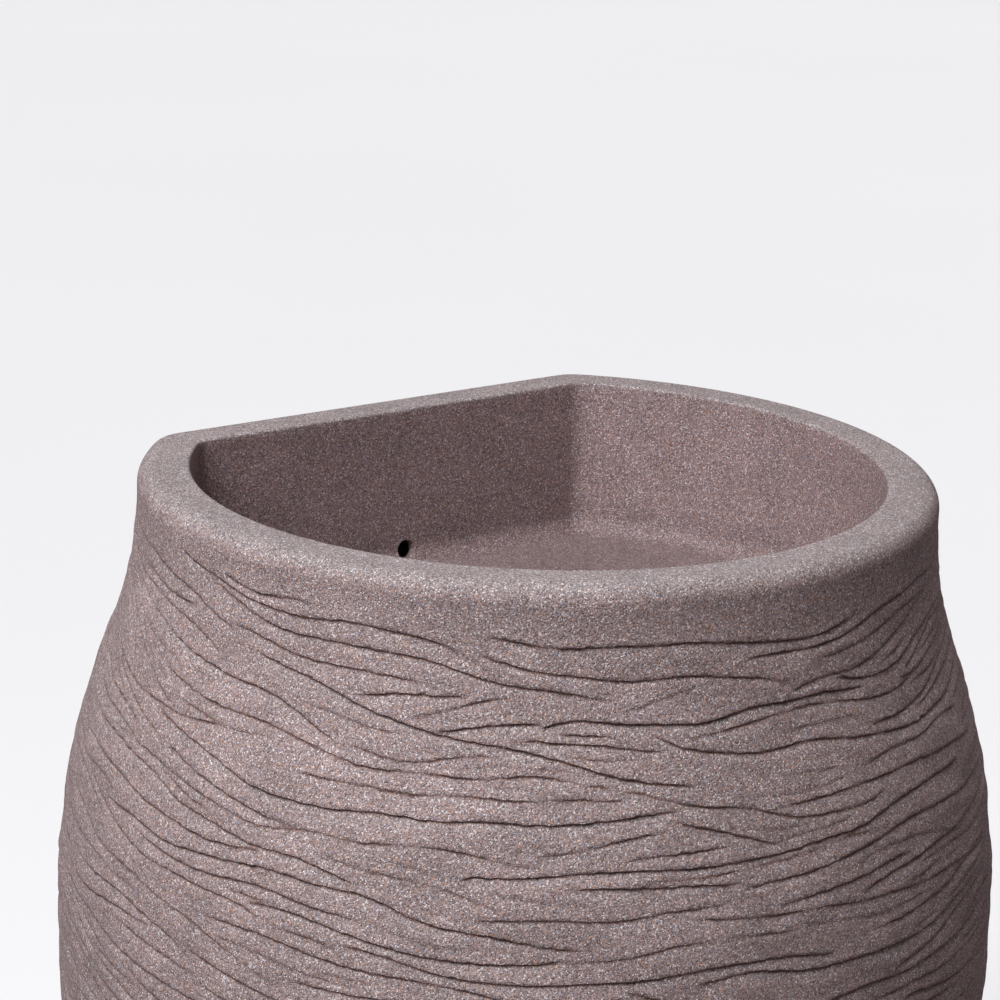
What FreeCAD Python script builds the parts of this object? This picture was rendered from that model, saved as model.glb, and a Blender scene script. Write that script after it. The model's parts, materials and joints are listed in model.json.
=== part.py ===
"""Flat-backed rain barrel with a planter bowl in its top.

One rotomoulded tank carries a brass screw-down spigot at the front, a screened
inlet in its flat back, a swivelling overflow elbow on its right side and a
capped link port on its left side.

Millimetres. +Z is up, -Y is the front and +Y is the flat back. The origin is on
the ground, on the axis of the tank's round wall.
"""
import FreeCAD
import Part
import math
import os
from FreeCAD import Vector

# Tank
HEIGHT = 860.0
RIM_RADIUS = 270.0
BELLY_RADIUS = 325.0
BELLY_HEIGHT = 555.0
BASE_RADIUS = 246.0
FLARE_TOP = 845.0           # where the shoulder meets the upright rim band
HOLLOW_SHARE = 0.35         # share of the shoulder that curves inwards
BACK = 202.0                # distance of the flat back from the axis
WALL = 6.0
CORNER_RADIUS = 32.0        # upright corners between round wall and flat back
RIM_ROUND = 12.0
FOOT_ROUND = 18.0

# Planter bowl
RIM_WIDTH = 35.0
BOWL_DEPTH = 115.0
BOWL_DRAFT = math.radians(2.5)
BOWL_CORNER = 18.0
BOWL_FOOT_ROUND = 14.0
LIP_ROUND = 2.0
DRAIN_RADIUS = 6.5
DRAIN_DROP = 105.0          # from the rim down to the drain hole's centre
DRAIN_OFFSET = 7.0          # the drain hole sits a little right of the middle

# Ports: centre of each seat, its outward direction and its hole in the wall
FRONT, REAR = Vector(0, -1, 0), Vector(0, 1, 0)
LEFT, RIGHT = Vector(-1, 0, 0), Vector(1, 0, 0)
SPIGOT_SEAT = Vector(0, -283, 95)
LINK_SEAT = Vector(-283, 0, 95)
OVERFLOW_SEAT = Vector(327, 0, 600)
INLET_SEAT = Vector(0, 192, 672)
PAD_RADIUS = 32.0
PAD_REACH = 64.0            # how far a pad's boss runs inwards before it is hollowed
POCKET_RADIUS = 70.0
SPIGOT_HOLE = 13.4
FITTING_HOLE = 17.0
INLET_HOLE = 53.9

GAP = 0.06                  # radial running clearance
SEAT_GAP = 0.02             # clearance between faces that touch

# Bulkhead fittings
GASKET = 2.5
FITTING_THREAD = 16.6
FITTING_BORE = 12.5
FITTING_END = 24.0
LOCKNUT_DEPTH = 10.0

# Spigot
SHANK_RADIUS = 13.1
HOSE_THREAD = 13.49
STEM_RADIUS = 5.0
VALVE_CENTRE = Vector(0, 4.6, 45.0)     # in the spigot seat's frame
VALVE_TILT = math.radians(45)
CHAMBER_TOP = 25.0
OUTLET_START = 9.5                      # along the stem, from the valve seat
OUTLET_COLLAR = 27.0
OUTLET_END = 41.0

# Inlet, in the inlet seat's frame
INLET_BORE = 50.0
INLET_TUBE = 53.5
SHOULDER = -22.0                        # ledge that the screen rests on
SCREEN_TOP = -17.0
SCREEN_RADIUS = 48.6
DOME_RADIUS = 44.5
DOME_DEPTH = 24.0

UP = Vector(0, 0, 1)
ORIGIN = Vector(0, 0, 0)


# ---------------------------------------------------------------- helpers
def rod(radius, low, high):
    """Round bar on the local Z axis."""
    return Part.makeCylinder(radius, high - low, Vector(0, 0, low))


def ring(outer, inner, low, high):
    """Flat ring or tube on the local Z axis."""
    return rod(outer, low, high).cut(rod(inner, low - 1, high + 1))


def hexagon(across_flats, low, high, chamfer=1.0):
    """Hexagonal bar on the local Z axis, with its corners turned off at the ends."""
    corner = across_flats / math.sqrt(3)
    points = [
        Vector(corner * math.cos(k * math.pi / 3), corner * math.sin(k * math.pi / 3), low)
        for k in range(7)
    ]
    prism = Part.Face(Part.makePolygon(points)).extrude(Vector(0, 0, high - low))
    slope = 2.0 * chamfer
    turned = spin([
        (0, low), (corner - slope, low), (corner, low + chamfer),
        (corner, high - chamfer), (corner - slope, high), (0, high),
    ])
    return prism.common(turned)


def spin(points):
    """Solid of revolution about the local Z axis from (radius, height) points."""
    corners = [Vector(radius, 0, height) for radius, height in points]
    face = Part.Face(Part.makePolygon(corners + corners[:1]))
    return face.revolve(ORIGIN, UP, 360)


def frame(origin, outward, up=UP):
    """Placement whose local Z runs outward and whose local Y runs up."""
    side = up.cross(outward)
    return FreeCAD.Placement(FreeCAD.Matrix(
        side.x, up.x, outward.x, origin.x,
        side.y, up.y, outward.y, origin.y,
        side.z, up.z, outward.z, origin.z,
        0, 0, 0, 1,
    ))


def placed(shape, placement):
    """Copy of a shape moved by a placement."""
    moved = shape.copy()
    moved.Placement = placement.multiply(moved.Placement)
    return moved


def one_solid(shape):
    """The single solid that a boolean or a fillet wrapped in a compound."""
    return shape.Solids[0]


def polar_copies(shape, count):
    """Copies of a shape turned evenly about the local Z axis."""
    copies = []
    for k in range(count):
        turned = shape.copy()
        turned.rotate(ORIGIN, UP, 360.0 * k / count)
        copies.append(turned)
    return copies


# ---------------------------------------------------------------- tank
def circle_point(centre_radius, centre_height, radius, angle):
    return Vector(
        centre_radius + radius * math.cos(angle), 0, centre_height + radius * math.sin(angle)
    )


def tank_profile(inset):
    """Half section of the round wall, moved inwards by an inset."""
    drop = BELLY_RADIUS - BASE_RADIUS
    lower = (BELLY_HEIGHT ** 2 + drop ** 2) / (2 * drop)
    rise = FLARE_TOP - BELLY_HEIGHT
    turn = 2 * math.atan((BELLY_RADIUS - RIM_RADIUS) / rise)
    hollow = HOLLOW_SHARE * rise / math.sin(turn)
    full = (1 - HOLLOW_SHARE) * rise / math.sin(turn)

    foot = math.asin((inset - BELLY_HEIGHT) / (lower - inset))
    below = [
        circle_point(BELLY_RADIUS - lower, BELLY_HEIGHT, lower - inset, angle)
        for angle in (foot, foot / 2, 0)
    ]
    above = [
        circle_point(BELLY_RADIUS - full, BELLY_HEIGHT, full - inset, angle)
        for angle in (0, turn / 2, turn)
    ]
    neck = [
        circle_point(RIM_RADIUS + hollow, FLARE_TOP, hollow + inset, math.pi + angle)
        for angle in (turn, turn / 2, 0)
    ]
    base_centre = Vector(0, 0, inset)
    top_centre = Vector(0, 0, HEIGHT - inset)
    top_edge = Vector(RIM_RADIUS - inset, 0, HEIGHT - inset)
    return Part.Face(Part.Wire([
        Part.makeLine(base_centre, below[0]),
        Part.Arc(*below).toShape(),
        Part.Arc(*above).toShape(),
        Part.Arc(*neck).toShape(),
        Part.makeLine(neck[-1], top_edge),
        Part.makeLine(top_edge, top_centre),
        Part.makeLine(top_centre, base_centre),
    ]))


def tank_block(inset, corner, rim, foot):
    """Solid D-shaped urn with rounded corners, rim and foot."""
    back = BACK - inset
    urn = tank_profile(inset).revolve(ORIGIN, UP, 360)
    beyond = Part.makeBox(4 * BACK, 4 * BACK, 2 * HEIGHT, Vector(-2 * BACK, back, -HEIGHT / 2))
    urn = one_solid(urn.cut(beyond))
    upright = [
        e for e in urn.Edges
        if abs(e.BoundBox.YMin - back) < 1e-3 and e.BoundBox.ZLength > 1
    ]
    urn = urn.makeFillet(corner, upright)
    top = [e for e in urn.Edges if abs(e.BoundBox.ZMin - (HEIGHT - inset)) < 1e-3]
    urn = urn.makeFillet(rim, top)
    bottom = [e for e in urn.Edges if abs(e.BoundBox.ZMax - inset) < 1e-3]
    return one_solid(urn.makeFillet(foot, bottom))


def bowl_block(skin):
    """D-shaped tapering plug: the bowl's hollow, or with a skin the wall round it."""
    floor = HEIGHT - BOWL_DEPTH - skin
    rise = HEIGHT + 2 * WALL - floor
    grow = skin / math.cos(BOWL_DRAFT)
    top_radius = RIM_RADIUS - RIM_WIDTH + grow + 2 * WALL * math.tan(BOWL_DRAFT)
    foot_radius = top_radius - rise * math.tan(BOWL_DRAFT)
    plug = Part.makeCone(foot_radius, top_radius, rise, Vector(0, 0, floor))
    beyond = Part.makeBox(4 * BACK, 2 * BACK, 2 * HEIGHT, Vector(-2 * BACK, 0, -HEIGHT))
    beyond.rotate(ORIGIN, Vector(1, 0, 0), -math.degrees(BOWL_DRAFT))
    beyond.translate(Vector(0, BACK - RIM_WIDTH + grow, HEIGHT))
    plug = one_solid(plug.cut(beyond))
    upright = [
        e for e in plug.Edges
        if e.BoundBox.ZLength > rise - 1 and e.BoundBox.YMin > 0 and e.BoundBox.XLength < RIM_WIDTH
    ]
    plug = plug.makeFillet(BOWL_CORNER + skin, upright)
    bottom = [e for e in plug.Edges if abs(e.BoundBox.ZMax - floor) < 1e-3]
    return one_solid(plug.makeFillet(BOWL_FOOT_ROUND + skin, bottom))


def port_pad(seat, outward, radius):
    """Round boss that reaches from inside the wall out to a port's seat."""
    return placed(rod(radius, -PAD_REACH, 0), frame(seat, outward))


def barrel_shell():
    outside = tank_block(0.0, CORNER_RADIUS, RIM_ROUND, FOOT_ROUND)
    inside = tank_block(WALL, CORNER_RADIUS - WALL, RIM_ROUND - WALL, FOOT_ROUND - WALL)
    for seat, outward in (
        (SPIGOT_SEAT, FRONT), (LINK_SEAT, LEFT), (OVERFLOW_SEAT, RIGHT),
    ):
        outside = outside.fuse(port_pad(seat, outward, PAD_RADIUS))
        hollow_seat = seat - outward * WALL
        inside = inside.fuse(port_pad(hollow_seat, outward, PAD_RADIUS - WALL))

    inlet = frame(INLET_SEAT, REAR)
    outside = outside.cut(placed(rod(POCKET_RADIUS, 0, 4 * WALL), inlet))
    inside = inside.cut(placed(rod(POCKET_RADIUS + WALL, -WALL, 4 * WALL), inlet))

    shell = outside.cut(bowl_block(0.0)).cut(inside.cut(bowl_block(WALL)))
    for seat, outward, radius in (
        (SPIGOT_SEAT, FRONT, SPIGOT_HOLE), (LINK_SEAT, LEFT, FITTING_HOLE),
        (OVERFLOW_SEAT, RIGHT, FITTING_HOLE), (INLET_SEAT, REAR, INLET_HOLE),
    ):
        shell = shell.cut(placed(rod(radius, -2 * WALL, WALL), frame(seat, outward)))
    drain_y = BACK - RIM_WIDTH
    shell = shell.cut(Part.makeCylinder(
        DRAIN_RADIUS, 3 * WALL, Vector(DRAIN_OFFSET, drain_y - 2 * WALL, HEIGHT - DRAIN_DROP), REAR))
    lip = [
        e for e in shell.Edges
        if abs(e.BoundBox.ZMin - HEIGHT) < 1e-3 and e.BoundBox.YMax < BACK - RIM_WIDTH + 1
        and max(abs(e.BoundBox.XMin), abs(e.BoundBox.XMax)) < RIM_RADIUS - RIM_WIDTH + 1
    ]
    return one_solid(shell.makeFillet(LIP_ROUND, lip))


# ---------------------------------------------------------------- bulkhead fittings
def bulkhead_fitting():
    body = rod(FITTING_THREAD, -26, FITTING_END)
    body = body.fuse(rod(24.0, GASKET, 6.5)).fuse(hexagon(42.0, 6.5, 11.5))
    return body.cut(rod(FITTING_BORE, -27, FITTING_END + 1))


def bulkhead_gasket():
    return ring(23.0, FITTING_HOLE, SEAT_GAP, GASKET - SEAT_GAP)


def bulkhead_locknut():
    top = -WALL - SEAT_GAP
    nut = hexagon(44.0, top - LOCKNUT_DEPTH, top, 1.5)
    return nut.cut(rod(FITTING_THREAD + GAP, -40, 0))


def link_cap_washer():
    return rod(15.6, FITTING_END + SEAT_GAP, FITTING_END + GASKET)


def link_cap():
    """Screw cap with scalloped grip."""
    low, high = 12.2, FITTING_END + GASKET + SEAT_GAP + 4.0
    cap = rod(21.0, low, high)
    cap = one_solid(cap.makeFillet(2.0, [
        e for e in cap.Edges if abs(e.BoundBox.ZMin - high) < 1e-3]))
    cap = cap.cut(rod(FITTING_THREAD + GAP, low - 1, FITTING_END + GASKET + SEAT_GAP))
    for flute in polar_copies(rod(2.2, low - 1, high + 1).translated(Vector(22.2, 0, 0)), 16):
        cap = cap.cut(flute)
    grip = Part.makeBox(28.0, 5.0, 7.0, Vector(-14.0, -2.5, high - 0.5))
    grip = one_solid(grip.makeFillet(2.0, [e for e in grip.Edges if e.BoundBox.ZMin > high]))
    return cap.fuse(grip)


# ---------------------------------------------------------------- overflow
def overflow_union_nut():
    """Nut that holds the elbow on the fitting and lets it turn."""
    nut = hexagon(40.0, 12.2, 30.0, 1.5)
    nut = nut.cut(rod(FITTING_THREAD + GAP, 11, 27.2))
    return nut.cut(rod(13.0 + GAP, 20, 31))


def overflow_elbow():
    """Quarter bend with a collar inside the union nut and a smooth hose tail."""
    start, bend = 33.0, 19.0
    outer, bore, tail_bore = 13.0, 10.0, 8.6
    collar_top = 27.1
    down = frame(Vector(0, -bend, start + bend), Vector(0, -1, 0))

    def swept(radius):
        disc = Part.Face(Part.Wire(Part.Edge(Part.Circle(Vector(0, 0, start), UP, radius))))
        return disc.revolve(Vector(0, -bend, start), Vector(1, 0, 0), 90)

    plug = rod(FITTING_BORE - GAP, 12, FITTING_END + 1)
    plug = plug.cut(ring(FITTING_BORE + 1, 10.9, 16.0, 19.0))
    body = plug.fuse([
        rod(15.6, FITTING_END + SEAT_GAP, collar_top), rod(outer, collar_top - 1, start),
        swept(outer), placed(rod(outer, 0, 9), down), placed(rod(15.2, 9, 12), down),
        placed(rod(12.7, 12, 38), down),
    ])
    water_way = rod(tail_bore, 11, 26).fuse([
        rod(bore, 25, start), swept(bore), placed(rod(bore, 0, 39), down),
    ])
    return one_solid(body.cut(water_way).removeSplitter())


def overflow_o_ring():
    thickness = 0.72
    torus = Part.makeTorus(FITTING_BORE - GAP - thickness, thickness)
    return torus.translated(Vector(0, 0, 17.5))


# ---------------------------------------------------------------- spigot
def stem_frame():
    """Frame of the valve stem, inside the spigot seat's frame."""
    along = Vector(0, math.sin(VALVE_TILT), math.cos(VALVE_TILT))
    return frame(VALVE_CENTRE, along, Vector(0, math.cos(VALVE_TILT), -math.sin(VALVE_TILT)))


def outlet_frame():
    """Frame of the hose outlet, inside the spigot seat's frame."""
    along = Vector(0, -math.sin(VALVE_TILT), math.cos(VALVE_TILT))
    stem = Vector(0, math.sin(VALVE_TILT), math.cos(VALVE_TILT))
    return frame(VALVE_CENTRE + stem * OUTLET_START, along, stem)


def spigot_body():
    stem, outlet = stem_frame(), outlet_frame()
    body = rod(SHANK_RADIUS, -22, 8).fuse(rod(21.0, GASKET, 6.0)).fuse(hexagon(31.0, 6, 15))
    body = body.fuse(rod(12.5, 14, VALVE_CENTRE.z))
    chamber = rod(16.0, -13, CHAMBER_TOP)
    chamber = one_solid(chamber.makeFillet(6.0, [
        e for e in chamber.Edges if abs(e.BoundBox.ZMax + 13) < 1e-3]))
    mouth = rod(12.2, 0, OUTLET_COLLAR).fuse(rod(15.0, OUTLET_COLLAR - 4, OUTLET_COLLAR))
    mouth = mouth.fuse(rod(HOSE_THREAD, OUTLET_COLLAR, OUTLET_END))
    body = body.fuse(placed(chamber, stem)).fuse(placed(mouth, outlet))
    body = body.cut(rod(7.0, -23, VALVE_CENTRE.z - 4))
    water_way = rod(8.0, -11, -2).fuse(rod(6.0, -3, 1)).fuse(rod(12.0, 0, CHAMBER_TOP + 1))
    body = body.cut(placed(water_way, stem)).cut(placed(rod(8.5, 0, OUTLET_END + 1), outlet))
    return one_solid(body)


def spigot_gasket():
    return ring(20.0, SPIGOT_HOLE, SEAT_GAP, GASKET - SEAT_GAP)


def spigot_inner_washer():
    return ring(22.0, SPIGOT_HOLE, -WALL - GASKET, -WALL - SEAT_GAP)


def spigot_locknut():
    top = -WALL - GASKET - SEAT_GAP
    return hexagon(36.0, top - 8, top, 1.5).cut(rod(SHANK_RADIUS + GAP, -40, 0))


def spigot_bonnet():
    tail = rod(12.0 - GAP, 18.6, CHAMBER_TOP + 2)
    body = tail.fuse(hexagon(31.0, CHAMBER_TOP + 1, 33.5)).fuse(rod(9.6, 33, 44))
    return body.cut(rod(STEM_RADIUS + GAP, 18, 45)).cut(rod(7.8, 38.5, 45))


def spigot_bonnet_gasket():
    return ring(15.4, 12.0 + GAP, CHAMBER_TOP + SEAT_GAP, CHAMBER_TOP + 1 - SEAT_GAP)


def spigot_packing_ring():
    return ring(7.8 - GAP, STEM_RADIUS + GAP, 38.5 + SEAT_GAP, 42.4)


def spigot_packing_nut():
    nut = hexagon(24.0, 36.0, 47.0, 1.2).cut(rod(9.6 + GAP, 35, 44.3))
    gland = rod(7.8 - GAP, 42.4 + SEAT_GAP, 45)
    return nut.fuse(gland).cut(rod(STEM_RADIUS + GAP, 35, 48))


def spigot_disc_holder():
    """Swivelling cup that carries the seat washer on the stem's end."""
    cup = rod(9.6, 1.5, 6.5).cut(rod(8.6, 1, 3.6)).fuse(rod(3.0, 6, 10.2))
    return cup.cut(rod(1.95, 1, 9))


def spigot_seat_washer():
    return ring(8.5, 2.0, SEAT_GAP, 3.6 - SEAT_GAP)


def spigot_seat_screw():
    return rod(3.4, -1.6, 0).fuse(rod(1.85, -0.5, 8.8)).cut(
        Part.makeBox(8, 0.9, 1, Vector(-4, -0.45, -1.7)))


def spigot_stem():
    side = 7.0
    square = Part.makeBox(side, side, 10.9, Vector(-side / 2, -side / 2, 47))
    square = square.common(rod(STEM_RADIUS - 0.4, 47, 58))
    stem = rod(7.0, 6.5 + GAP, 12).fuse(rod(STEM_RADIUS, 11, 48.5)).fuse(square)
    return stem.cut(rod(3.0 + GAP, 6, 10.3)).cut(rod(2.0, 47, 59))


def spigot_handle():
    """Hand wheel with a round rim and flat spokes."""
    side = 7.1
    hub = rod(9.0, 49, 58)
    hub = one_solid(hub.makeFillet(1.5, [
        e for e in hub.Edges if abs(e.BoundBox.ZMin - 58) < 1e-3]))
    rim = Part.makeTorus(25.5, 3.4).translated(Vector(0, 0, 53.2))
    spoke = Part.makeBox(20.0, 5.4, 4.0, Vector(6.0, -2.7, 51.2))
    spoke = one_solid(spoke.makeFillet(1.4, [e for e in spoke.Edges if e.BoundBox.XLength > 19]))
    wheel = hub.fuse([rim] + polar_copies(spoke, 5))
    square = Part.makeBox(side, side, 12, Vector(-side / 2, -side / 2, 48))
    return one_solid(wheel.cut(square.common(rod(STEM_RADIUS, 48, 60))))


def spigot_handle_screw():
    head = rod(5.2, 58.05, 61.2)
    head = one_solid(head.makeFillet(1.8, [
        e for e in head.Edges if abs(e.BoundBox.ZMin - 61.2) < 1e-3]))
    slot = Part.makeBox(6.4, 1.3, 2, Vector(-3.2, -0.65, 59.8))
    cross = slot.copy()
    cross.rotate(ORIGIN, UP, 90)
    return head.fuse(rod(1.9, 49, 58.5)).cut(slot).cut(cross)


# ---------------------------------------------------------------- inlet
def inlet_collar():
    body = rod(INLET_TUBE, -34, 3).fuse(rod(66.0, 2, 7))
    rim = [e for e in body.Edges if abs(e.BoundBox.ZMin - 7) < 1e-3]
    body = one_solid(body.makeFillet(2.0, rim))
    body = body.cut(rod(INLET_BORE, SCREEN_TOP, 8)).cut(rod(49.0, SHOULDER, 0))
    return body.cut(rod(46.0, -35, 0))


def inlet_gasket():
    return ring(65.0, INLET_HOLE, SEAT_GAP, 2 - SEAT_GAP)


def inlet_locknut():
    top = -WALL - SEAT_GAP
    nut = rod(61.0, top - LOCKNUT_DEPTH, top)
    lug = Part.makeBox(8.0, 9.0, LOCKNUT_DEPTH, Vector(57.5, -4.5, top - LOCKNUT_DEPTH))
    nut = nut.fuse(polar_copies(lug, 8))
    return nut.cut(rod(INLET_TUBE + GAP, -40, 0))


def inlet_screen_frame():
    """Clamping ring with a crossbar to pull the screen out by."""
    low, high = SHOULDER + 1.0 + SEAT_GAP, SCREEN_TOP
    bar = Part.makeBox(2 * DOME_RADIUS, 9.0, high - low, Vector(-DOME_RADIUS, -4.5, low))
    cross = bar.copy()
    cross.rotate(ORIGIN, UP, 90)
    hub = rod(9.0, low, high)
    return ring(SCREEN_RADIUS, DOME_RADIUS - 1, low, high).fuse([bar, cross, hub])


def inlet_screen_mesh():
    """Dome of screen cloth, drawn as a thin sheet, with a flat flange."""
    radius = (DOME_RADIUS ** 2 + DOME_DEPTH ** 2) / (2 * DOME_DEPTH)
    centre = SHOULDER + radius - DOME_DEPTH
    thickness = 1.0

    def dome(size):
        ball = Part.makeSphere(size, Vector(0, 0, centre))
        return ball.common(rod(size, centre - size, SHOULDER + thickness / 2))

    flange = ring(SCREEN_RADIUS, DOME_RADIUS - 1.5, SHOULDER + SEAT_GAP, SHOULDER + thickness)
    dish = dome(radius).cut(Part.makeSphere(radius - thickness, Vector(0, 0, centre)))
    return one_solid(flange.fuse(dish))


# ---------------------------------------------------------------- assembly
def sub_parts():
    """Every piece of the barrel, by name, in its place."""
    spigot = frame(SPIGOT_SEAT, FRONT)
    stem = spigot.multiply(stem_frame())
    overflow = frame(OVERFLOW_SEAT, RIGHT)
    link = frame(LINK_SEAT, LEFT)
    inlet = frame(INLET_SEAT, REAR)

    parts = {"barrel_shell": barrel_shell()}
    for make, place in (
        (spigot_body, spigot), (spigot_gasket, spigot), (spigot_inner_washer, spigot),
        (spigot_locknut, spigot), (spigot_bonnet, stem), (spigot_bonnet_gasket, stem),
        (spigot_packing_ring, stem), (spigot_packing_nut, stem), (spigot_disc_holder, stem),
        (spigot_seat_washer, stem), (spigot_seat_screw, stem), (spigot_stem, stem),
        (spigot_handle, stem), (spigot_handle_screw, stem),
        (inlet_collar, inlet), (inlet_gasket, inlet), (inlet_locknut, inlet),
        (inlet_screen_frame, inlet), (inlet_screen_mesh, inlet),
        (overflow_union_nut, overflow), (overflow_elbow, overflow), (overflow_o_ring, overflow),
        (link_cap_washer, link), (link_cap, link),
    ):
        parts[make.__name__] = placed(make(), place)
    for port, place in (("overflow", overflow), ("link", link)):
        parts[port + "_fitting"] = placed(bulkhead_fitting(), place)
        parts[port + "_gasket"] = placed(bulkhead_gasket(), place)
        parts[port + "_locknut"] = placed(bulkhead_locknut(), place)
    return parts


os.makedirs("parts", exist_ok=True)
for name, shape in sub_parts().items():
    solids = shape.Solids
    print(name, len(solids), round(sum(s.Volume for s in solids) / 1000, 2), shape.isValid())
    shape.exportStep("parts/" + name + ".step")
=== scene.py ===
"""Rain barrel with a planter bowl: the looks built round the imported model. Metres, +Z up, -Y front."""

import json
import math

import bmesh
import bpy
import numpy as np
from mathutils import Matrix, Vector


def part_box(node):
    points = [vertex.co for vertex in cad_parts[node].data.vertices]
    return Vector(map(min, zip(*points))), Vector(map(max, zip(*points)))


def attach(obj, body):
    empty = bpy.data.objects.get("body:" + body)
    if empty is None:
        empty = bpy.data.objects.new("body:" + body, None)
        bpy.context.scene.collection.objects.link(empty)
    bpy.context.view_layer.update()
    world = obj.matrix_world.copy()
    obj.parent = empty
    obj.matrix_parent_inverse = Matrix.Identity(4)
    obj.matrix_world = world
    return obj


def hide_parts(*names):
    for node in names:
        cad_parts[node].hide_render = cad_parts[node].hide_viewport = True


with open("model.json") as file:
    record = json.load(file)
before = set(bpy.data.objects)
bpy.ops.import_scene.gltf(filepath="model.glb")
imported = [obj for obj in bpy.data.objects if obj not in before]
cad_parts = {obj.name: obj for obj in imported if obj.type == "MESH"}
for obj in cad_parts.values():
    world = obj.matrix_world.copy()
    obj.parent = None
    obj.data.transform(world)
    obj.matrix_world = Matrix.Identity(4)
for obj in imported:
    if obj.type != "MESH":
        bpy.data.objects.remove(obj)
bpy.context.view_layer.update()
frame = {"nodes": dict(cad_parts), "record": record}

MM = 0.001

# Tank, the same driving dimensions as the frame's
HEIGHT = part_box("barrel_shell")[1].z
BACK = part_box("barrel_shell")[1].y
RIM_RADIUS = 270 * MM
BELLY_RADIUS = 325 * MM
BELLY_HEIGHT = 555 * MM
BASE_RADIUS = 246 * MM
FLARE_TOP = 845 * MM
HOLLOW_SHARE = 0.35
WALL = 6 * MM
CORNER = 32 * MM
RIM_ROUND = 12 * MM
FOOT_ROUND = 18 * MM

# Planter bowl
RIM_WIDTH = 35 * MM
BOWL_DEPTH = 115 * MM
BOWL_DRAFT = math.tan(math.radians(2.5))
BOWL_CORNER = 18 * MM
BOWL_FOOT = 14 * MM
LIP_ROUND = 2 * MM
DRAIN_RADIUS = 6.5 * MM
DRAIN_MOUTH = 8.2 * MM
DRAIN_DROP = 105 * MM
DRAIN_OFFSET = 7 * MM

# Ports: seat centre, outward direction, hole radius
FRONT, REAR = Vector((0, -1, 0)), Vector((0, 1, 0))
LEFT, RIGHT = Vector((-1, 0, 0)), Vector((1, 0, 0))
SPIGOT_SEAT = Vector((0, -283 * MM, 95 * MM))
LINK_SEAT = Vector((-283 * MM, 0, 95 * MM))
OVERFLOW_SEAT = Vector((327 * MM, 0, 600 * MM))
INLET_SEAT = Vector((0, 192 * MM, 672 * MM))
PADS = ((SPIGOT_SEAT, FRONT, 13.4 * MM), (LINK_SEAT, LEFT, 17 * MM), (OVERFLOW_SEAT, RIGHT, 17 * MM))
INLET_HOLE = 53.9 * MM
PAD_RADIUS = 32 * MM
PAD_REACH = 64 * MM
PAD_FILLET = 6 * MM
PAD_EDGE = 2.2 * MM
POCKET_RADIUS = 70 * MM
POCKET_EDGE = 2.5 * MM


# ---------------------------------------------------------------- mesh helpers
def new_object(name, mesh):
    piece = bpy.data.objects.new(name, mesh)
    bpy.context.scene.collection.objects.link(piece)
    return piece


def mesh_from(name, points, faces):
    mesh = bpy.data.meshes.new(name)
    mesh.from_pydata([tuple(p) for p in points], [], [tuple(f) for f in faces])
    mesh.validate()
    return mesh


def axis_matrix(origin, outward, up=Vector((0, 0, 1))):
    """Matrix whose local Z runs outward and whose local Y runs up."""
    side = up.cross(outward)
    matrix = Matrix((side, up, outward)).transposed().to_4x4()
    matrix.translation = origin
    return matrix


def lathe(name, profile, segments=96):
    """Closed solid turned about local Z from (radius, height) points, from the axis back to the axis."""
    angles = np.arange(segments) * 2 * math.pi / segments
    points, faces, rows = [], [], []
    for radius, height in profile:
        if radius < 1e-9:
            rows.append([len(points)] * segments)
            points.append((0, 0, height))
        else:
            rows.append(list(range(len(points), len(points) + segments)))
            points += [(radius * math.cos(a), radius * math.sin(a), height) for a in angles]
    for low, high in zip(rows, rows[1:]):
        for k in range(segments):
            n = (k + 1) % segments
            corners = list(dict.fromkeys([low[k], low[n], high[n], high[k]]))
            if len(corners) > 2:
                faces.append(corners)
    return mesh_from(name, points, faces)


def closed_ring(name, radius, height, segments):
    """Ring about local Z with a closed outline; radius and height have a row per ring of points."""
    angle = np.arange(segments) * 2 * math.pi / segments + 0 * radius
    points = np.stack([radius * np.cos(angle), radius * np.sin(angle), height + 0 * angle], -1)
    index = np.arange(angle.size).reshape(angle.shape)
    above, beside = np.roll(index, -1, axis=0), np.roll(index, -1, axis=1)
    quads = np.stack([index, beside, np.roll(above, -1, axis=1), above], -1)
    return mesh_from(name, points.reshape(-1, 3), quads.reshape(-1, 4).tolist())


def solid(mesh, matrix):
    """Scratch object for a boolean, with its normals pointing out."""
    mesh.transform(matrix)
    work = bmesh.new()
    work.from_mesh(mesh)
    bmesh.ops.remove_doubles(work, verts=work.verts, dist=1e-6)
    bmesh.ops.recalc_face_normals(work, faces=work.faces)
    if work.calc_volume(signed=True) < 0:
        bmesh.ops.reverse_faces(work, faces=work.faces)
    work.to_mesh(mesh)
    work.free()
    return new_object(mesh.name, mesh)


def rod(name, radius, low, high, matrix, segments=96):
    return solid(lathe(name, [(0, low), (radius, low), (radius, high), (0, high)], segments), matrix)


def combine(target, operation, *tools):
    """Applies one boolean per tool to target and removes the tools."""
    for tool in tools:
        step = target.modifiers.new("step", "BOOLEAN")
        step.object, step.operation, step.solver = tool, operation, "MANIFOLD"
        bpy.context.view_layer.update()
        evaluated = target.evaluated_get(bpy.context.evaluated_depsgraph_get())
        result = bpy.data.meshes.new_from_object(evaluated)
        target.modifiers.clear()
        if not result.polygons:
            raise RuntimeError(f"boolean {operation} of {target.name} with {tool.name} came out empty")
        old, target.data = target.data, result
        bpy.data.meshes.remove(old)
        bpy.data.objects.remove(tool)
    return target


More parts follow.
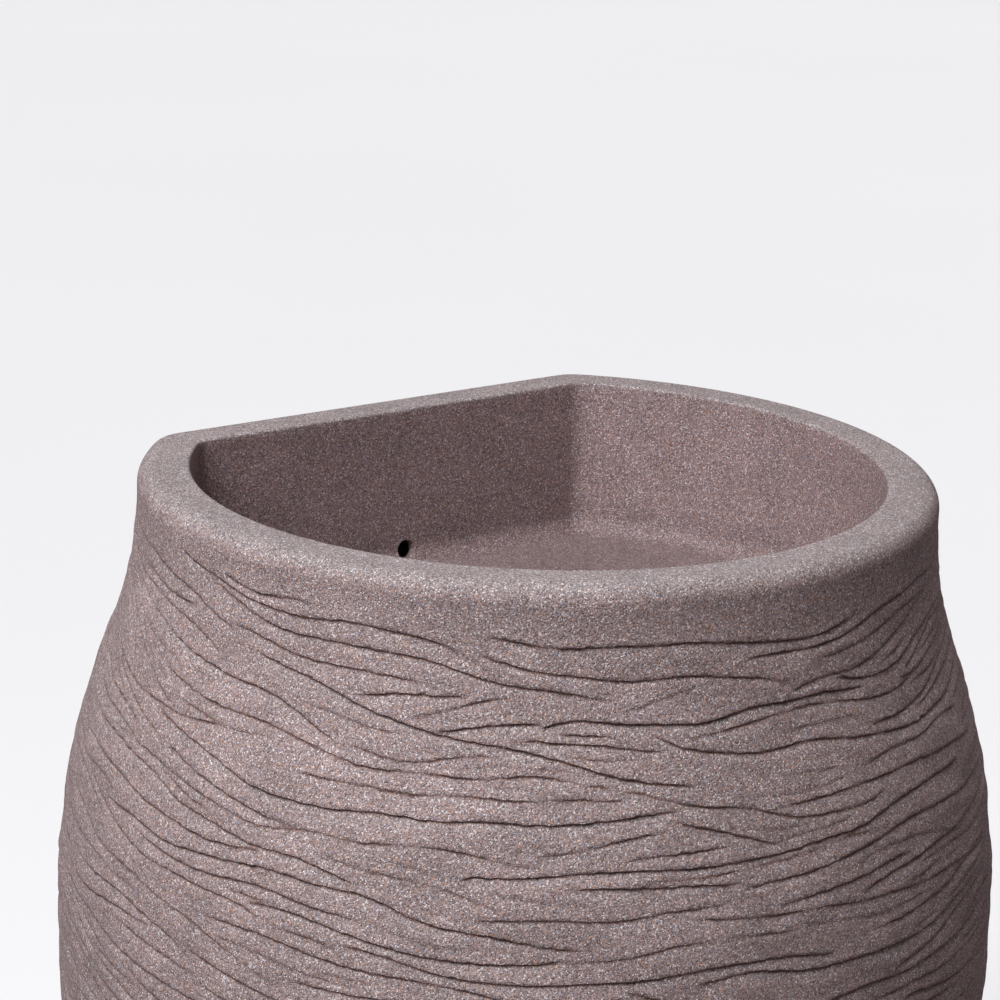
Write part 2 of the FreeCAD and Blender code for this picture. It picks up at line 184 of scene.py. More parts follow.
# ---------------------------------------------------------------- tank shape
def wall_radius(z):
    """Radius of the round wall at heights z."""
    drop = BELLY_RADIUS - BASE_RADIUS
    lower = (BELLY_HEIGHT ** 2 + drop ** 2) / (2 * drop)
    rise = FLARE_TOP - BELLY_HEIGHT
    turn = 2 * math.atan((BELLY_RADIUS - RIM_RADIUS) / rise)
    hollow = HOLLOW_SHARE * rise / math.sin(turn)
    full = (1 - HOLLOW_SHARE) * rise / math.sin(turn)
    above = z - BELLY_HEIGHT
    under_top = FLARE_TOP - z
    low = BELLY_RADIUS - lower + np.sqrt(np.maximum(lower ** 2 - above ** 2, 0))
    mid = BELLY_RADIUS - full + np.sqrt(np.maximum(full ** 2 - above ** 2, 0))
    neck = RIM_RADIUS + hollow - np.sqrt(np.maximum(hollow ** 2 - under_top ** 2, 0))
    bend = BELLY_HEIGHT + full * math.sin(turn)
    return np.select([above < 0, z < bend, z < FLARE_TOP], [low, mid, neck], RIM_RADIUS)


class Columns:
    """The points of one D-shaped ring: half of its flat, a corner, its round, a corner, the other half."""

    def __init__(self, flat_half, corner, round_):
        sizes = (flat_half, corner, round_, corner, flat_half)
        part = np.repeat(range(len(sizes)), sizes)
        self.parts = [part == number for number in range(len(sizes))]
        self.share = np.concatenate([np.arange(n) / n for n in sizes])
        self.count = sum(sizes)


def section(columns, radius, back, corner):
    """Points and outward normals of D-shaped rings, and their roundness: 0 on the flat, 1 on the round.

    Angles run from +Y towards +X.
    """
    reach = np.sqrt((radius - corner) ** 2 - (back - corner) ** 2)
    turn = np.arctan2(reach, back - corner)
    share, parts = columns.share, columns.parts
    none = 0 * share * turn
    angle = np.select(parts, [
        none, share * turn, turn + share * 2 * (np.pi - turn), (share - 1) * turn, none])
    nx, ny = np.sin(angle), np.cos(angle)
    x = np.select(parts, [
        share * reach, reach + corner * nx, radius * nx, corner * nx - reach, (share - 1) * reach])
    flat, bend = back + none, back - corner + corner * ny
    y = np.select(parts, [flat, bend, radius * ny, bend, flat])
    roundness = np.select(parts, [none, share + none, 1 + none, 1 - share + none, none])
    return x, y, nx, ny, roundness


def grid_mesh(name, points, key=None):
    """Closed skin from rows of rings, capped at both ends; each quad is cut along its flatter diagonal."""
    rows, cols = points.shape[:2]
    index = np.arange(rows * cols).reshape(rows, cols)
    a, b = index[:-1], np.roll(index, -1, axis=1)[:-1]
    d, c = index[1:], np.roll(index, -1, axis=1)[1:]
    flat = np.zeros(index.size) if key is None else key.ravel()
    along = np.abs(flat[a] - flat[c]) <= np.abs(flat[b] - flat[d])
    first = np.where(along[..., None], np.stack([a, b, c], -1), np.stack([a, b, d], -1))
    second = np.where(along[..., None], np.stack([a, c, d], -1), np.stack([b, c, d], -1))
    triangles = np.concatenate([first.reshape(-1, 3), second.reshape(-1, 3)])
    caps = [index[0][::-1].tolist(), index[-1].tolist()]
    mesh = bpy.data.meshes.new(name)
    mesh.from_pydata(points.reshape(-1, 3), [], triangles.tolist() + caps)
    return mesh


# ---------------------------------------------------------------- carved strokes
STROKE_SEED = 14
REFERENCE_RADIUS = 300 * MM     # of the unrolled wall
FIELD_HALF = 800 * MM
FIELD_CELL = 0.5 * MM
TAKEN_CELL = 1 * MM
STROKE_STEP = 1.5 * MM
STROKE_TOP = 834 * MM
STROKE_FOOT = 34 * MM

CUT_DEPTH = 2.3 * MM
CUT_WIDTH = 1.1 * MM            # steep face above a stroke's line
RAMP_WIDTH = 9 * MM             # long slope below it
RAMP_SPREAD = (0.55, 1.25)
RAMP_POWER = 1.8
LIP_WIDTH = 5 * MM              # raised edge over it
LIP_RISE = 2 * MM
LIP_SHARE = 0.3
SHADE_LINE_WIDTH = 0.6 * MM         # painted shade line in the cut
SHADE_LINE_GROWTH = 0.5 * MM
TAPER = (6 * MM, 40 * MM)
WOBBLES = ((14 * MM, 0.26 * MM), (80 * MM, 0.9 * MM))
FAINT = 0.15 * CUT_DEPTH        # shallower cuts get no rows of their own

LEAN = ((-0.3, 0.05, 0.5), (-0.07, 0.0, 0.13))      # slope against distance along the wall
STEADY_SLOPE, ODD_SLOPE, ODD_SHARE = 0.05, 0.14, 0.18
END_BEND = 0.25

# The long line under the rim
FIRST_LEVEL, FIRST_REACH, FIRST_SPACING = 822 * MM, 300 * MM, 210 * MM
# Of each pass: tries, room around a start, length, strength, gap to others, shortest length
PASSES = (
    (3200, (10 * MM, 20 * MM), (150 * MM, 420 * MM), (0.55, 1.25), 4 * MM, 60 * MM),
    (6000, (6 * MM, 14 * MM), (50 * MM, 200 * MM), (0.3, 0.85), 3 * MM, 26 * MM),
    (3000, (4.5 * MM, 9 * MM), (18 * MM, 70 * MM), (0.15, 0.45), 2.5 * MM, 12 * MM),
)
CROSSING_GAP, CROSSING_SHARE = 1.2 * MM, 0.4

CLEAR_OF_PADS = (PAD_RADIUS + 5 * MM, PAD_RADIUS + 16 * MM)
CLEAR_OF_CORNERS = (0.15, 0.8)


def waves(rng, count, wide, tall):
    """Smooth random function of (s, z), about -1 to 1, with features of the given width and height."""
    kx = rng.uniform(0.6, 1.4, count) * 2 * np.pi / wide * rng.choice([-1, 1], count)
    kz = rng.uniform(0.6, 1.4, count) * 2 * np.pi / tall
    phase = rng.uniform(0, 2 * np.pi, count)

    def value(s, z):
        s, z = np.asarray(s, float)[..., None], np.asarray(z, float)[..., None]
        return np.sin(s * kx + z * kz + phase).sum(-1) / math.sqrt(count / 2) / 1.6

    return value


class StrokeField:
    """Strokes carved round the wall, drawn on the unrolled surface (s along it, z up)."""

    def __init__(self, seed):
        self.rng = np.random.default_rng(seed)
        self.depth = np.zeros((int(2 * FIELD_HALF / FIELD_CELL), int(HEIGHT / FIELD_CELL)), np.float32)
        # The crease layer holds painted shade: a dark line along each stroke's cut.
        self.lip, self.crease_shade = self.depth.copy(), self.depth.copy()
        self.offset = self.depth + 1.0      # height of the nearest line above a cell; 1 m is none
        self.taken = np.zeros((int(2 * FIELD_HALF / TAKEN_CELL), int(HEIGHT / TAKEN_CELL)), bool)
        self.drift = waves(self.rng, 10, 620 * MM, 260 * MM)
        self.patch = waves(self.rng, 12, 230 * MM, 120 * MM)
        self.crowd = waves(self.rng, 10, 300 * MM, 160 * MM)
        self.edge = waves(self.rng, 6, 240 * MM, 900 * MM)
        self.broad = waves(self.rng, 14, 150 * MM, 60 * MM)
        self.tight = waves(self.rng, 14, 60 * MM, 26 * MM)

    def swell(self, s, z):
        """Gentle unevenness of the wall between the strokes."""
        return 0.5 * MM * self.broad(s, z) + 0.22 * MM * self.tight(s, z)

    def near(self, s, z, gap):
        """True if a stroke already runs within gap above or below (s, z)."""
        column = int((s + FIELD_HALF) / TAKEN_CELL)
        low, high = int((z - gap) / TAKEN_CELL), int((z + gap) / TAKEN_CELL) + 1
        return bool(self.taken[column, max(low, 0):high].any())

    def inside(self, s, z):
        """True within the carved band, whose top edge wanders and is higher on the left."""
        top = STROKE_TOP - 6 * MM + 7 * MM * float(self.edge(s, z)) + 6 * MM * float(np.clip(s / 0.5, 0, 1))
        return abs(s) < FIELD_HALF - 10 * MM and STROKE_FOOT < z < top

    def slope(self, s, z, own):
        """Rise over run of a stroke: strokes sweep up towards both upright corners."""
        lean = float(np.interp(s, *LEAN))
        return lean + 0.10 * float(self.drift(s, z)) + 0.11 * float(self.patch(s, z)) + own

    def grow(self, s, z, own, reach, gap, bend, heading):
        """Points of one stroke from (s, z) towards heading, until it is long enough or meets another."""
        points, travelled = [], 0.0
        while travelled < reach:
            step = STROKE_STEP * heading
            slant = self.slope(s, z, own) + bend * (travelled / reach) ** 3
            s, z = s + step, z + step * slant
            travelled += STROKE_STEP * math.hypot(1, slant)
            if not self.inside(s, z) or self.near(s, z, gap):
                break
            points.append((s, z))
        return points

    def draw(self, s, z, own, reach, gap, strength, shortest):
        """Grows one stroke both ways from (s, z) and carves it, unless it came out too short."""
        bends = self.rng.normal(0, END_BEND, 2)
        share = self.rng.uniform(0.3, 0.7)
        left = self.grow(s, z, own, reach * share, gap, bends[0], -1)
        right = self.grow(s, z, own, reach * (1 - share), gap, bends[1], 1)
        path = np.array(left[::-1] + [(s, z)] + right)
        if len(path) * STROKE_STEP >= shortest:
            self.carve(path, strength)

    def ripple(self, width, s, z):
        """Random waviness along a stroke, about -1 to 1."""
        return waves(self.rng, 5, width, 1.0)(s, z)

    def carve(self, path, strength):
        """Cuts a stroke: a steep face above its line, a long ramp below it and a lip over the cut."""
        rng = self.rng
        s, z = path[:, 0], path[:, 1]
        length = s[-1] - s[0]
        wobble = sum(self.ripple(width, s, z) * height for width, height in WOBBLES)
        ends = np.clip(np.minimum(s - s[0], s[-1] - s) / (8 * MM), 0, 1)
        z = z + wobble * ends
        start, stop = (np.clip(run / rng.uniform(*TAPER), 0, 1) for run in (s - s[0], s[-1] - s))
        force = 0.78 + 0.22 * self.ripple(45 * MM, s, z)
        depth = strength * force * np.sqrt(start * stop)
        ramp = RAMP_WIDTH * rng.uniform(*RAMP_SPREAD) * min(1.0, 0.5 + length / (120 * MM))
        self.mark(s, z)

        first, last = (int((v + FIELD_HALF) / FIELD_CELL) for v in (s[0], s[-1]))
        columns = np.arange(first, last + 1)
        at = columns * FIELD_CELL - FIELD_HALF
        centre, cut = np.interp(at, s, z), np.interp(at, s, depth)
        slant = np.interp(at, s, np.gradient(z, s)) if len(s) > 2 else 0 * at
        reach = int((ramp + LIP_WIDTH) / FIELD_CELL) + 2
        rows = (centre / FIELD_CELL).astype(int)[:, None] + np.arange(-reach, reach)[None]
        rows = np.clip(rows, 0, self.depth.shape[1] - 1)
        off = (rows * FIELD_CELL - centre[:, None]) / np.sqrt(1 + slant ** 2)[:, None]
        above = np.clip(1 - off / CUT_WIDTH, 0, 1) * (off >= 0)
        below = np.clip(1 + off / ramp, 0, 1) ** RAMP_POWER * (off < 0)
        hump = np.clip((off - CUT_WIDTH * 0.8) / LIP_RISE, 0, 1)
        hump *= np.clip(1 - off / (CUT_WIDTH + LIP_WIDTH), 0, 1)
        # Painted shade: a dark line along the cut, stronger where the cut is deeper.
        dark = np.clip(cut / (0.6 * CUT_DEPTH), 0, 1)[:, None]
        shadow = np.exp(-(off / (SHADE_LINE_WIDTH + SHADE_LINE_GROWTH * dark)) ** 2) * dark
        grid = columns[:, None], rows
        self.depth[grid] = np.maximum(self.depth[grid], cut[:, None] * (above + below))
        self.lip[grid] = np.maximum(self.lip[grid], cut[:, None] * hump * LIP_SHARE)
        self.crease_shade[grid] = np.maximum(self.crease_shade[grid], shadow)
        closer = (np.abs(off) < np.abs(self.offset[grid])) & (cut > FAINT)[:, None]
        self.offset[grid] = np.where(closer, -off, self.offset[grid])

    def mark(self, s, z):
        """Notes which cells a stroke runs through, for near()."""
        fine = np.linspace(0, len(s) - 1, len(s) * 3)
        column = ((np.interp(fine, np.arange(len(s)), s) + FIELD_HALF) / TAKEN_CELL).astype(int)
        row = (np.interp(fine, np.arange(len(z)), z) / TAKEN_CELL).astype(int)
        self.taken[column, row] = True

    def scatter(self, tries, room, reach, strength, gap, shortest):
        """Seeds strokes at random wherever the wall is still clear enough."""
        rng = self.rng
        for _ in range(tries):
            s = rng.uniform(-FIELD_HALF + 12 * MM, FIELD_HALF - 12 * MM)
            z = rng.uniform(STROKE_FOOT, STROKE_TOP)
            clear = rng.uniform(*room) * (1 + 0.55 * float(self.crowd(s, z)))
            own = rng.normal(0, STEADY_SLOPE) + (rng.normal(0, ODD_SLOPE) if rng.random() < ODD_SHARE else 0)
            length, depth = rng.uniform(*reach), rng.uniform(*strength) * CUT_DEPTH
            close = gap if rng.random() < 1 - CROSSING_SHARE else CROSSING_GAP
            if self.inside(s, z) and not self.near(s, z, clear):
                self.draw(s, z, own, length, close, depth, shortest)

    def fill(self):
        """First the line under the rim, then long strokes, then shorter and fainter ones between them."""
        rng = self.rng
        for start in np.arange(-720 * MM, 720 * MM, FIRST_SPACING):
            level = FIRST_LEVEL + rng.normal(0, 2) * MM + 8 * MM * max(start, 0)
            depth = rng.uniform(0.7, 1.0) * CUT_DEPTH
            self.draw(start, level, 0.0, FIRST_REACH, 1.5 * MM, depth, 50 * MM)
        for settings in PASSES:
            self.scatter(*settings)

    def sample(self, layer, s, z):
        """Bilinear value of a layer at (s, z)."""
        u = np.clip((s + FIELD_HALF) / FIELD_CELL, 0, layer.shape[0] - 1.001)
        v = np.clip(z / FIELD_CELL, 0, layer.shape[1] - 1.001)
        i, j = u.astype(int), v.astype(int)
        fu, fv = u - i, v - j
        low = layer[i, j] * (1 - fu) + layer[i + 1, j] * fu
        high = layer[i, j + 1] * (1 - fu) + layer[i + 1, j + 1] * fu
        return low * (1 - fv) + high * fv

    def nearest(self, layer, s, z):
        """Value of a layer at the cell nearest to (s, z)."""
        i = np.clip(np.rint((s + FIELD_HALF) / FIELD_CELL).astype(int), 0, layer.shape[0] - 1)
        j = np.clip(np.rint(z / FIELD_CELL).astype(int), 0, layer.shape[1] - 1)
        return layer[i, j]


# ---------------------------------------------------------------- barrel shell
ROW_STEP = 1.25 * MM
SHELL_SHARP = 34                # degrees: sharper edges stay crisp


def arc_rows(radius, start, stop, count):
    """(inset, rise) pairs along a quarter round, without its end points."""
    angles = np.radians(np.linspace(start, stop, count + 2)[1:-1])
    return radius - radius * np.cos(angles), radius * np.sin(angles)


def ease(value, low, high):
    """Smooth step from 0 at low to 1 at high."""
    t = np.clip((value - low) / (high - low), 0, 1)
    return t * t * (3 - 2 * t)


def outer_rings(inset, rim, foot, step):
    """Rings up the outside of the tank, moved inwards by inset: height, inward shift and corner radius."""
    top = HEIGHT - inset
    foot_in, foot_rise = arc_rows(foot, 90, 0, 8)
    rim_in, rim_rise = arc_rows(rim, 0, 90, 10)
    wall = np.linspace(inset + foot, top - rim, int((top - rim - foot - inset) / step))
    heights = np.concatenate([[inset], inset + foot - foot_rise, wall, top - rim + rim_rise, [top]])
    shrink = np.concatenate([[foot], foot_in, 0 * wall, rim_in, [rim]]) + inset
    return heights, shrink, CORNER - shrink


def bowl_rings(skin, lip, step):
    """Heights, radii, backs and corners of the rings down the bowl; skin moves them outwards."""
    floor = HEIGHT - BOWL_DEPTH - skin
    lip_in, lip_rise = arc_rows(lip, 90, 0, 6) if lip else (np.zeros(0), np.zeros(0))
    foot = BOWL_FOOT + skin
    foot_in, foot_drop = arc_rows(foot, 0, 90, 9)
    top = HEIGHT - (lip if lip else WALL)
    wall = np.linspace(top, floor + foot, int((top - floor - foot) / step))
    heights = np.concatenate([top + lip_rise, wall, floor + foot - foot_drop, [floor]])
    grow = np.concatenate([lip_in, 0 * wall, -foot_in, [-foot]]) + skin
    edge = grow - (HEIGHT - heights) * BOWL_DRAFT
    corner = np.maximum(BOWL_CORNER + edge, 4 * MM)
    return heights, RIM_RADIUS - RIM_WIDTH + edge, BACK - RIM_WIDTH + edge, corner


def rings_to_points(columns, heights, radius, back, corner):
    """Rows of D-shaped rings, one per height."""
    x, y, _, _, _ = section(columns, radius[:, None], back[:, None], corner[:, None])
    return np.stack([x, y, heights[:, None] + 0 * x], -1)


def pad_distance(x, y, z):
    """Distance of wall points from the nearest pad's axis, on the pad's own side of the tank."""
    nearest = np.full(x.shape, 1.0)
    for seat, outward, _ in PADS:
        across = x * outward.y - y * outward.x
        facing = (x * outward.x + y * outward.y) > 0
        gap = np.where(facing, np.hypot(across, z - seat.z), 1.0)
        nearest = np.minimum(nearest, gap)
    return nearest


def unrolled(x, y):
    """Distance along the wall at the reference radius, from the front's middle towards the left."""
    return REFERENCE_RADIUS * (np.mod(np.arctan2(x, y), 2 * np.pi) - np.pi)


def stroke_cover(roundness, x, y, z):
    """Share of the strokes' depth that is left near the upright corners and the pads."""
    return ease(roundness, *CLEAR_OF_CORNERS) * ease(pad_distance(x, y, z), *CLEAR_OF_PADS)


def carved_wall(columns, heights, shrink, field):
    """Points of the outside of the tank with its strokes, and how deep each point is cut.

    Rows next to a stroke's line are moved onto it, so that its edge is crisp.
    """
    z = np.repeat(heights[:, None], columns.count, axis=1)
    plain = shrink[:, None] == 0

    def place(z):
        radius = wall_radius(z) - shrink[:, None]
        return section(columns, radius, BACK - shrink[:, None], CORNER - shrink[:, None] + 0 * z)

    x, y, _, _, roundness = place(z)
    off = field.nearest(field.offset, unrolled(x, y), z)
    cover = stroke_cover(roundness, x, y, z)
    snap = plain & (cover > 0.05)
    on_line = snap & (np.abs(off) <= ROW_STEP / 2)
    over_line = snap & (off < -ROW_STEP / 2) & (off > -1.5 * ROW_STEP)
    z = np.where(on_line, z + off, np.where(over_line, z + off + CUT_WIDTH, z))

    x, y, nx, ny, _ = place(z)
    s = unrolled(x, y)
    depth = field.sample(field.depth, s, z) * cover * plain
    lip = field.sample(field.lip, s, z) * cover * plain
    swell = field.swell(s, z) * cover * ease(z, 20 * MM, 60 * MM) * ease(HEIGHT - z, 14 * MM, 60 * MM)
    gap = np.clip(PAD_RADIUS + PAD_FILLET - pad_distance(x, y, z), 0, PAD_FILLET)
    skirt = PAD_FILLET - np.sqrt(PAD_FILLET ** 2 - gap ** 2)
    out = lip - depth + swell + skirt
    points = np.stack([x + nx * out, y + ny * out, z], -1)
    return points, depth


def barrel_shell(field):
    columns = Columns(14, 14, 540)
    heights, shrink, _ = outer_rings(0.0, RIM_ROUND, FOOT_ROUND, ROW_STEP)
    wall, depth = carved_wall(columns, heights, shrink, field)
    top_inset = np.linspace(RIM_ROUND, RIM_WIDTH - LIP_ROUND, 9)[1:-1]
    rim_top = rings_to_points(columns, HEIGHT + 0 * top_inset, RIM_RADIUS - top_inset, BACK - top_inset,
                              np.maximum(CORNER - top_inset, BOWL_CORNER))
    bowl = rings_to_points(columns, *bowl_rings(0.0, LIP_ROUND, 4 * MM))
    points = np.concatenate([wall, rim_top, bowl])
    key = np.concatenate([depth, np.zeros((len(rim_top) + len(bowl), columns.count))])
    return solid(grid_mesh("barrel_shell_carved", points, key), Matrix.Identity(4))


def tank_hollow():
    """The space inside the tank, with the ports' holes and the bowl's drain."""
    columns = Columns(10, 8, 150)
    heights, shrink, corner = outer_rings(WALL, RIM_ROUND - WALL, FOOT_ROUND - WALL, 8 * MM)
    outside = rings_to_points(columns, heights, wall_radius(heights) - shrink, BACK - shrink, corner)
    inside = rings_to_points(columns, *bowl_rings(WALL, 0, 8 * MM))
    hollow = solid(grid_mesh("hollow", np.concatenate([outside, inside])), Matrix.Identity(4))
    inlet = axis_matrix(INLET_SEAT, REAR)
    combine(hollow, "DIFFERENCE", rod("pocket_back", POCKET_RADIUS + WALL, -WALL, 5 * WALL, inlet))
    for seat, outward, hole in PADS:
        place = axis_matrix(seat, outward)
        combine(hollow, "UNION", rod("pad_hollow", PAD_RADIUS - WALL, -PAD_REACH, -WALL, place),
                rod("pad_hole", hole, -2 * WALL, WALL, place, 64))
    combine(hollow, "UNION", rod("inlet_hole", INLET_HOLE, -2 * WALL, WALL, inlet, 128))
    drain = axis_matrix(Vector((DRAIN_OFFSET, BACK - RIM_WIDTH, HEIGHT - DRAIN_DROP)), REAR)
    funnel = [(0, -2 * WALL), (DRAIN_MOUTH, -2 * WALL), (DRAIN_MOUTH - 0.6 * MM, -4.7 * MM),
              (DRAIN_RADIUS, -2.6 * MM), (DRAIN_RADIUS, WALL), (0, WALL)]
    return combine(hollow, "UNION", solid(lathe("drain", funnel, 48), drain))


def pad(seat, outward):
    """Boss with a slight draft and a rounded edge."""
    rounding = [(PAD_RADIUS - PAD_EDGE + PAD_EDGE * math.cos(a), -PAD_EDGE + PAD_EDGE * math.sin(a))
                for a in np.radians(np.linspace(0, 90, 7))]
    profile = [(0, -PAD_REACH), (PAD_RADIUS + 1.5 * MM, -PAD_REACH)] + rounding + [(0, 0)]
    return solid(lathe("pad", profile, 128), axis_matrix(seat, outward))


def pocket():
    """Cutter for the sunk seat of the inlet, flared at its mouth."""
    depth, mouth = BACK - INLET_SEAT.y, POCKET_RADIUS + POCKET_EDGE
    flare = [(mouth - POCKET_EDGE * math.cos(a), depth - POCKET_EDGE + POCKET_EDGE * math.sin(a))
             for a in np.radians(np.linspace(0, 90, 7))]
    profile = [(0, 0), (POCKET_RADIUS, 0)] + flare + [(mouth, depth + WALL), (0, depth + WALL)]
    return solid(lathe("pocket", profile, 160), axis_matrix(INLET_SEAT, REAR))


def joined(name, *parts):
    """One scratch object from several."""
    work = bmesh.new()
    for part in parts:
        work.from_mesh(part.data)
        bpy.data.objects.remove(part)
    mesh = bpy.data.meshes.new(name)
    work.to_mesh(mesh)
    work.free()
    return new_object(name, mesh)


def strokes_at(field, points):
    """Shares of the strokes' painted crease shade and of their depth at finished mesh points; both 0 off the
    wall.
    """
    x, y, z = points.T
    radius = wall_radius(z)
    reach = np.sqrt(np.maximum((radius - CORNER) ** 2 - (BACK - CORNER) ** 2, 0))
    polar = np.abs(np.arctan2(x, y))
    corner_start, corner_end = np.arctan2(reach, BACK), np.arctan2(reach, BACK - CORNER)
    roundness = np.clip((polar - corner_start) / (corner_end - corner_start), 0, 1)
    skin = 4 * MM
    corner_gap = CORNER - np.hypot(np.abs(x) - reach, y - (BACK - CORNER))
    outside = (np.hypot(x, y) > radius - skin) | ((roundness < 1) & (corner_gap < skin) & (np.abs(x) > reach))
    outside &= (z > STROKE_FOOT / 2) & (z < HEIGHT - RIM_ROUND)
    s = unrolled(x, y)
    shown = stroke_cover(roundness, x, y, z) * outside
    return field.sample(field.crease_shade, s, z) * shown, field.sample(field.depth, s, z) * shown / CUT_DEPTH


def in_bowl(points):
    """1 on the inside of the planter bowl, 0 from its lip outwards."""
    x, y, z = points.T
    inwards = np.minimum(RIM_RADIUS - RIM_WIDTH + 1 * MM - np.hypot(x, y), BACK - RIM_WIDTH + 1 * MM - y)
    return (inwards > 0) * ease(HEIGHT - z, 0, 3 * MM) * (z > HEIGHT - BOWL_DEPTH - 1 * MM)


def shade(piece, angle):
    """Smooth shading with edges sharper than the angle kept crisp."""
    piece.data.shade_smooth()
    piece.data.set_sharp_from_angle(angle=math.radians(angle))
    return piece


def finished_shell():
    """The tank's shell with its strokes, pads, pocket, holes and hollow, and the masks its material uses."""
    field = StrokeField(STROKE_SEED)
    field.fill()
    shell = barrel_shell(field)
    pads = joined("pads", *[pad(seat, outward) for seat, outward, _ in PADS])
    combine(shell, "UNION", pads)
    combine(shell, "DIFFERENCE", combine(tank_hollow(), "UNION", pocket()))
    shell.name = shell.data.name = "barrel_shell_carved"
    points = np.zeros(len(shell.data.vertices) * 3)
    shell.data.vertices.foreach_get("co", points)
    points = points.reshape(-1, 3)
    # crease is painted shade along the strokes' cuts; trough is how deep they are cut.
    crease_shade, trough = strokes_at(field, points)
    for name, values in (("crease_shade", crease_shade), ("trough", trough), ("bowl", in_bowl(points))):
        layer = shell.data.attributes.new(name, "FLOAT", "POINT")
        layer.data.foreach_set("value", values.astype(np.float32))
    return shade(shell, SHELL_SHARP)


# ---------------------------------------------------------------- inlet screen
SCREEN_RADIUS = 48.6 * MM
SHOULDER = -22 * MM
DOME_RADIUS = 44.5 * MM
DOME_DEPTH = 24 * MM
WIRE_PITCH = 2.3 * MM
WIRE_RADIUS = 0.26 * MM
WIRE_SIDES = 6
HEM_THICKNESS = 1 * MM
HEM_INNER = 43.2 * MM
HEM_EDGE = 0.3 * MM
PLAY = 0.03 * MM                # kept clear of the hem's seat


def dome_height(x, y):
    """Height of the screen's dish in the inlet's frame, and how it leans along x and y."""
    ball = (DOME_RADIUS ** 2 + DOME_DEPTH ** 2) / (2 * DOME_DEPTH)
    reach = np.sqrt(ball ** 2 - np.minimum(x * x + y * y, DOME_RADIUS ** 2))
    inside = x * x + y * y < DOME_RADIUS ** 2
    height = SHOULDER + 0.5 * MM + (ball - DOME_DEPTH) - reach
    return height, np.where(inside, x / reach, 0), np.where(inside, y / reach, 0)


def wire(offset, number, turned):
    """Ring points of one woven wire that runs over and under its neighbours."""
    half = math.sqrt((DOME_RADIUS + 0.8 * MM) ** 2 - offset ** 2)
    along = np.linspace(-half, half, int(2 * half / WIRE_PITCH * 3) + 2)
    across = np.full_like(along, offset)
    x, y = (across, along) if turned else (along, across)
    height, lean_x, lean_y = dome_height(x, y)
    normal = np.stack([-lean_x, -lean_y, np.ones_like(x)], -1)
    normal /= np.linalg.norm(normal, axis=1, keepdims=True)
    weave = np.cos(math.pi * (along / WIRE_PITCH + number + turned)) * WIRE_RADIUS
    centre = np.stack([x, y, height], -1) + normal * weave[:, None]
    tangent = np.gradient(centre, axis=0)
    tangent /= np.linalg.norm(tangent, axis=1, keepdims=True)
    side = np.cross(tangent, normal)
    angle = np.arange(WIRE_SIDES) * 2 * math.pi / WIRE_SIDES
    ring = np.cos(angle)[None, :, None] * side[:, None] + np.sin(angle)[None, :, None] * normal[:, None]
    return centre[:, None] + WIRE_RADIUS * ring


def tube_faces(rings, sides, first):
    index = first + np.arange(rings * sides).reshape(rings, sides)
    a, b = index[:-1], np.roll(index, -1, axis=1)[:-1]
    quads = np.stack([a, b, np.roll(index, -1, axis=1)[1:], index[1:]], -1).reshape(-1, 4)
    return quads.tolist() + [index[0][::-1].tolist(), index[-1].tolist()]


def screen_cloth():
    """Woven stainless wire in a pressed hem."""
    points, faces = [], []
    count = int(DOME_RADIUS / WIRE_PITCH)
    for turned in (0, 1):
        for number in range(-count, count + 1):
            rings = wire(number * WIRE_PITCH, number, turned)
            faces += tube_faces(len(rings), WIRE_SIDES, sum(len(p) for p in points))
            points.append(rings.reshape(-1, 3))
    cloth = solid(mesh_from("cloth", np.concatenate(points), faces), axis_matrix(INLET_SEAT, REAR))
    low, high = SHOULDER + PLAY, SHOULDER + HEM_THICKNESS - PLAY
    inner, outer = HEM_INNER, SCREEN_RADIUS - 0.02 * MM
    outline = [(inner + HEM_EDGE, low), (SCREEN_RADIUS - HEM_EDGE, low), (outer, low + HEM_EDGE),
               (outer, high - HEM_EDGE), (SCREEN_RADIUS - HEM_EDGE, high), (inner + HEM_EDGE, high),
               (inner, high - HEM_EDGE), (inner, low + HEM_EDGE)]
    radius, height = np.array(outline).T[..., None]
    hem = solid(closed_ring("hem", radius, height, 128), axis_matrix(INLET_SEAT, REAR))
    return shade(joined("inlet_screen_cloth", cloth, hem), 50)


# ---------------------------------------------------------------- screw threads
VALVE_CENTRE = Vector((0, -328 * MM, 99.6 * MM))
OUTLET_START = 9.5 * MM         # along the stem, from the valve's seat
HOSE_THREAD = dict(major=13.49 * MM, low=27.2 * MM, high=41 * MM, pitch=2.209 * MM, depth=1.25 * MM)
LINK_THREAD = dict(major=16.6 * MM, low=11.7 * MM, high=24 * MM, pitch=4 * MM, depth=1.3 * MM)


def thread_cutter(name, major, low, high, pitch, depth, segments=72):
    """Ring whose inner face is a screw thread, run out at its start and chamfered at its end."""
    z = np.arange(low, high + MM, pitch / 12)
    turn = np.arange(segments) / segments
    phase = np.mod(z[:, None] / pitch - turn[None], 1)
    tooth = np.clip(1.6 - np.abs(phase - 0.5) * 5.2, 0, 1)
    run_out = np.clip((z - low) / (0.6 * pitch), 0, 1)[:, None]
    clear = 0.05 * MM           # keeps its faces off the plain cylinder's
    inner = major + clear - (depth + clear) * tooth * run_out
    chamfer = major - np.maximum(z - (high - depth), -clear)[:, None]
    inner = np.minimum(inner, np.maximum(chamfer, major - depth))
    outer = np.full((1, segments), major + 3 * MM)
    height = np.concatenate([z[:1], z, z[-1:]])[:, None]
    return closed_ring(name, np.concatenate([outer, inner, outer]), height, segments)


def threaded(node_name, place, thread):
    """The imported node's own shape with a screw thread cut in its plain cylinder."""
    packed = frame["nodes"][node_name].data
    points, faces = [v.co for v in packed.vertices], [p.vertices for p in packed.polygons]
    piece = solid(mesh_from(node_name + "_threaded", points, faces), Matrix.Identity(4))
    combine(piece, "DIFFERENCE", solid(thread_cutter("thread", **thread), place))
    return shade(piece, 30)


